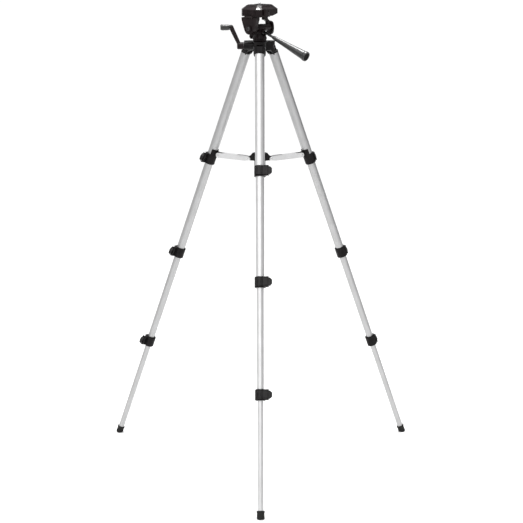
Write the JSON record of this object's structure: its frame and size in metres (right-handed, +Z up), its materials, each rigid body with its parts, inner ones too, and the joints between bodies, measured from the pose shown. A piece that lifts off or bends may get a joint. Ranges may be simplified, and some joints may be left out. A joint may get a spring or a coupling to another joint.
{
  "type": "camera tripod",
  "caption": "Folding aluminium tripod with telescopic legs, flip locks, spreader braces, cranked column and a pan and tilt head with a flip platform.",
  "frame": {"origin": "point on the floor under the column's axis, with the legs fully splayed and extended", "axes": "+Z up along the column, -Y along the front leg, +X to the right seen from the front"},
  "size_m": [0.8874, 0.7714, 1.3215],
  "materials": {
    "aluminium_tube": "satin anodised",
    "black_plastic": "satin moulded",
    "gloss_black_plastic": "semi-gloss moulded",
    "black_rubber": "matt",
    "bright_steel": "polished"
  },
  "bodies": {
    "shoulder": {"shoulder": "black_plastic", "gear_cover": "black_plastic", "centre_tube": "aluminium_tube"},
    "front_leg": {"front_knuckle": "black_plastic", "front_tube_1": "aluminium_tube", "front_clamp_1": "black_plastic"},
    "front_section_2": {"front_tube_2": "aluminium_tube", "front_clamp_2": "black_plastic"},
    "front_lock_1": {"front_lever_1": "black_plastic"},
    "front_section_3": {"front_tube_3": "aluminium_tube", "front_clamp_3": "black_plastic"},
    "front_lock_2": {"front_lever_2": "black_plastic"},
    "front_section_4": {"front_tube_4": "aluminium_tube", "front_foot": "black_rubber"},
    "front_lock_3": {"front_lever_3": "black_plastic"},
    "front_spreader": {"front_brace": "aluminium_tube"},
    "left_leg": {"left_knuckle": "black_plastic", "left_tube_1": "aluminium_tube", "left_clamp_1": "black_plastic"},
    "left_section_2": {"left_tube_2": "aluminium_tube", "left_clamp_2": "black_plastic"},
    "left_lock_1": {"left_lever_1": "black_plastic"},
    "left_section_3": {"left_tube_3": "aluminium_tube", "left_clamp_3": "black_plastic"},
    "left_lock_2": {"left_lever_2": "black_plastic"},
    "left_section_4": {"left_tube_4": "aluminium_tube", "left_foot": "black_rubber"},
    "left_lock_3": {"left_lever_3": "black_plastic"},
    "left_spreader": {"left_brace": "aluminium_tube"},
    "right_leg": {"right_knuckle": "black_plastic", "right_tube_1": "aluminium_tube", "right_clamp_1": "black_plastic"},
    "right_section_2": {"right_tube_2": "aluminium_tube", "right_clamp_2": "black_plastic"},
    "right_lock_1": {"right_lever_1": "black_plastic"},
    "right_section_3": {"right_tube_3": "aluminium_tube", "right_clamp_3": "black_plastic"},
    "right_lock_2": {"right_lever_2": "black_plastic"},
    "right_section_4": {"right_tube_4": "aluminium_tube", "right_foot": "black_rubber"},
    "right_lock_3": {"right_lever_3": "black_plastic"},
    "right_spreader": {"right_brace": "aluminium_tube"},
    "hub": {"brace_hub": "black_plastic"},
    "column": {"column": "aluminium_tube", "head_base": "black_plastic"},
    "crank": {"crank_shaft": "bright_steel", "crank_arm": "black_plastic"},
    "crank_knob": {"crank_knob": "gloss_black_plastic"},
    "column_lock": {"column_lock_knob": "black_plastic"},
    "pan": {"pan_body": "black_plastic"},
    "pan_lock": {"pan_lock_knob": "black_plastic"},
    "tilt": {"tilt_block": "black_plastic", "tilt_frame": "black_plastic"},
    "tilt_lock": {"tilt_lock_knob": "black_plastic"},
    "handle": {"handle_rod": "bright_steel", "handle_grip": "gloss_black_plastic"},
    "flip": {"platform": "black_plastic"},
    "plate": {"quick_plate": "black_plastic"},
    "screw": {"camera_screw": "bright_steel"},
    "release": {"release_lever": "black_plastic"}
  },
  "joints": [
    {"name": "front_leg_fold", "type": "hinge", "parent": "shoulder", "child": "front_leg", "pos_m": [0, -0.038, 1.1998], "axis": [-1, 0, 0], "range_deg": [-18, 0]},
    {"name": "front_slide_2", "type": "slide", "parent": "front_leg", "child": "front_section_2", "axis": [0, -0.3605, -0.9328], "range_m": [-0.268, 0]},
    {"name": "front_lock_1_turn", "type": "hinge", "parent": "front_leg", "child": "front_lock_1", "pos_m": [0.01986, -0.17511, 0.8797], "axis": [0, 0.3605, 0.9328], "range_deg": [0, 80]},
    {"name": "front_slide_3", "type": "slide", "parent": "front_section_2", "child": "front_section_3", "axis": [0, -0.3605, -0.9328], "range_m": [-0.266, 0]},
    {"name": "front_lock_2_turn", "type": "hinge", "parent": "front_section_2", "child": "front_lock_2", "pos_m": [0.01925, -0.28542, 0.59428], "axis": [0, 0.3605, 0.9328], "range_deg": [0, 80]},
    {"name": "front_slide_4", "type": "slide", "parent": "front_section_3", "child": "front_section_4", "axis": [0, -0.3605, -0.9328], "range_m": [-0.28, 0]},
    {"name": "front_lock_3_turn", "type": "hinge", "parent": "front_section_3", "child": "front_lock_3", "pos_m": [0.0185, -0.395, 0.31072], "axis": [0, 0.3605, 0.9328], "range_deg": [0, 80]},
    {"name": "front_brace_turn", "type": "hinge", "parent": "front_leg", "child": "front_spreader", "pos_m": [0, -0.13396, 0.88631], "axis": [-1, 0, 0], "range_deg": [0, 106.78]},
    {"name": "left_leg_fold", "type": "hinge", "parent": "shoulder", "child": "left_leg", "pos_m": [-0.03291, 0.019, 1.1998], "axis": [0.5, 0.866, 0], "range_deg": [-18, 0]},
    {"name": "left_slide_2", "type": "slide", "parent": "left_leg", "child": "left_section_2", "axis": [-0.3122, 0.1802, -0.9328], "range_m": [-0.268, 0]},
    {"name": "left_lock_1_turn", "type": "hinge", "parent": "left_leg", "child": "left_lock_1", "pos_m": [-0.16158, 0.07036, 0.8797], "axis": [0.3122, -0.1802, 0.9328], "range_deg": [0, 80]},
    {"name": "left_slide_3", "type": "slide", "parent": "left_section_2", "child": "left_section_3", "axis": [-0.3122, 0.1802, -0.9328], "range_m": [-0.266, 0]},
    {"name": "left_lock_2_turn", "type": "hinge", "parent": "left_section_2", "child": "left_lock_2", "pos_m": [-0.2568, 0.12604, 0.59428], "axis": [0.3122, -0.1802, 0.9328], "range_deg": [0, 80]},
    {"name": "left_slide_4", "type": "slide", "parent": "left_section_3", "child": "left_section_4", "axis": [-0.3122, 0.1802, -0.9328], "range_m": [-0.28, 0]},
    {"name": "left_lock_3_turn", "type": "hinge", "parent": "left_section_3", "child": "left_lock_3", "pos_m": [-0.35133, 0.18148, 0.31072], "axis": [0.3122, -0.1802, 0.9328], "range_deg": [0, 80]},
    {"name": "left_brace_turn", "type": "hinge", "parent": "left_leg", "child": "left_spreader", "pos_m": [-0.11601, 0.06698, 0.88631], "axis": [0.5, 0.866, 0], "range_deg": [0, 106.78]},
    {"name": "right_leg_fold", "type": "hinge", "parent": "shoulder", "child": "right_leg", "pos_m": [0.03291, 0.019, 1.1998], "axis": [0.5, -0.866, 0], "range_deg": [-18, 0]},
    {"name": "right_slide_2", "type": "slide", "parent": "right_leg", "child": "right_section_2", "axis": [0.3122, 0.1802, -0.9328], "range_m": [-0.268, 0]},
    {"name": "right_lock_1_turn", "type": "hinge", "parent": "right_leg", "child": "right_lock_1", "pos_m": [0.14172, 0.10475, 0.8797], "axis": [-0.3122, -0.1802, 0.9328], "range_deg": [0, 80]},
    {"name": "right_slide_3", "type": "slide", "parent": "right_section_2", "child": "right_section_3", "axis": [0.3122, 0.1802, -0.9328], "range_m": [-0.266, 0]},
    {"name": "right_lock_2_turn", "type": "hinge", "parent": "right_section_2", "child": "right_lock_2", "pos_m": [0.23755, 0.15938, 0.59428], "axis": [-0.3122, -0.1802, 0.9328], "range_deg": [0, 80]},
    {"name": "right_slide_4", "type": "slide", "parent": "right_section_3", "child": "right_section_4", "axis": [0.3122, 0.1802, -0.9328], "range_m": [-0.28, 0]},
    {"name": "right_lock_3_turn", "type": "hinge", "parent": "right_section_3", "child": "right_lock_3", "pos_m": [0.33283, 0.21352, 0.31072], "axis": [-0.3122, -0.1802, 0.9328], "range_deg": [0, 80]},
    {"name": "right_brace_turn", "type": "hinge", "parent": "right_leg", "child": "right_spreader", "pos_m": [0.11601, 0.06698, 0.88631], "axis": [0.5, -0.866, 0], "range_deg": [0, 106.78]},
    {"name": "hub_slide", "type": "slide", "parent": "shoulder", "child": "hub", "axis": [0, 0, -1], "range_m": [0, 0.1141]},
    {"name": "column_rise", "type": "slide", "parent": "shoulder", "child": "column", "axis": [0, 0, 1], "range_m": [0, 0.25]},
    {"name": "crank_turn", "type": "hinge", "parent": "shoulder", "child": "crank", "pos_m": [-0.05, -0.0138, 1.204], "axis": [1, 0, 0], "continuous": true},
    {"name": "crank_knob_spin", "type": "hinge", "parent": "crank", "child": "crank_knob", "pos_m": [-0.095, -0.0138, 1.2545], "axis": [-1, 0, 0], "continuous": true},
    {"name": "column_lock_turn", "type": "hinge", "parent": "shoulder", "child": "column_lock", "pos_m": [0, 0.035, 1.199], "axis": [0, 1, 0], "range_deg": [0, 180]},
    {"name": "pan_turn", "type": "hinge", "parent": "column", "child": "pan", "pos_m": [0, 0, 1.2217], "axis": [0, 0, 1], "range_deg": [-110, 190]},
    {"name": "pan_lock_turn", "type": "hinge", "parent": "pan", "child": "pan_lock", "pos_m": [-0.01734, 0.01354, 1.228], "axis": [-0.788, 0.6157, 0], "range_deg": [0, 180]},
    {"name": "head_tilt", "type": "hinge", "parent": "pan", "child": "tilt", "pos_m": [0, 0, 1.252], "axis": [0.6157, 0.788, 0], "range_deg": [-75, 10]},
    {"name": "tilt_lock_turn", "type": "hinge", "parent": "tilt", "child": "tilt_lock", "pos_m": [0.02463, 0.03152, 1.252], "axis": [0.6157, 0.788, 0], "range_deg": [0, 180]},
    {"name": "handle_twist", "type": "hinge", "parent": "tilt", "child": "handle", "pos_m": [0.04362, -0.03408, 1.22485], "axis": [0.727, -0.568, -0.3859], "range_deg": [0, 360]},
    {"name": "platform_flip", "type": "hinge", "parent": "tilt", "child": "flip", "pos_m": [-0.02863, -0.03664, 1.284], "axis": [0.788, -0.6157, 0], "range_deg": [0, 90]},
    {"name": "plate_lift", "type": "slide", "parent": "flip", "child": "plate", "axis": [0, 0, 1], "range_m": [0, 0.02]},
    {"name": "screw_turn", "type": "hinge", "parent": "plate", "child": "screw", "pos_m": [0, 0, 1.31], "axis": [0, 0, 1], "continuous": true},
    {"name": "release_turn", "type": "hinge", "parent": "flip", "child": "release", "pos_m": [0.02413, -0.03408, 1.296], "axis": [0, 0, 1], "range_deg": [0, 35], "stiffness_Nm_per_rad": 0.05, "springref_deg": -11.46}
  ],
  "couplings": [
    {"joint": "front_brace_turn", "follows": "front_leg_fold", "ratio": -5.9045},
    {"joint": "left_leg_fold", "follows": "front_leg_fold", "ratio": 1},
    {"joint": "left_brace_turn", "follows": "front_leg_fold", "ratio": -5.9045},
    {"joint": "right_leg_fold", "follows": "front_leg_fold", "ratio": 1},
    {"joint": "right_brace_turn", "follows": "front_leg_fold", "ratio": -5.9045},
    {"joint": "hub_slide", "follows": "front_leg_fold", "m_per_rad": -0.3617},
    {"joint": "crank_turn", "follows": "column_rise", "rad_per_m": 166.67}
  ]
}
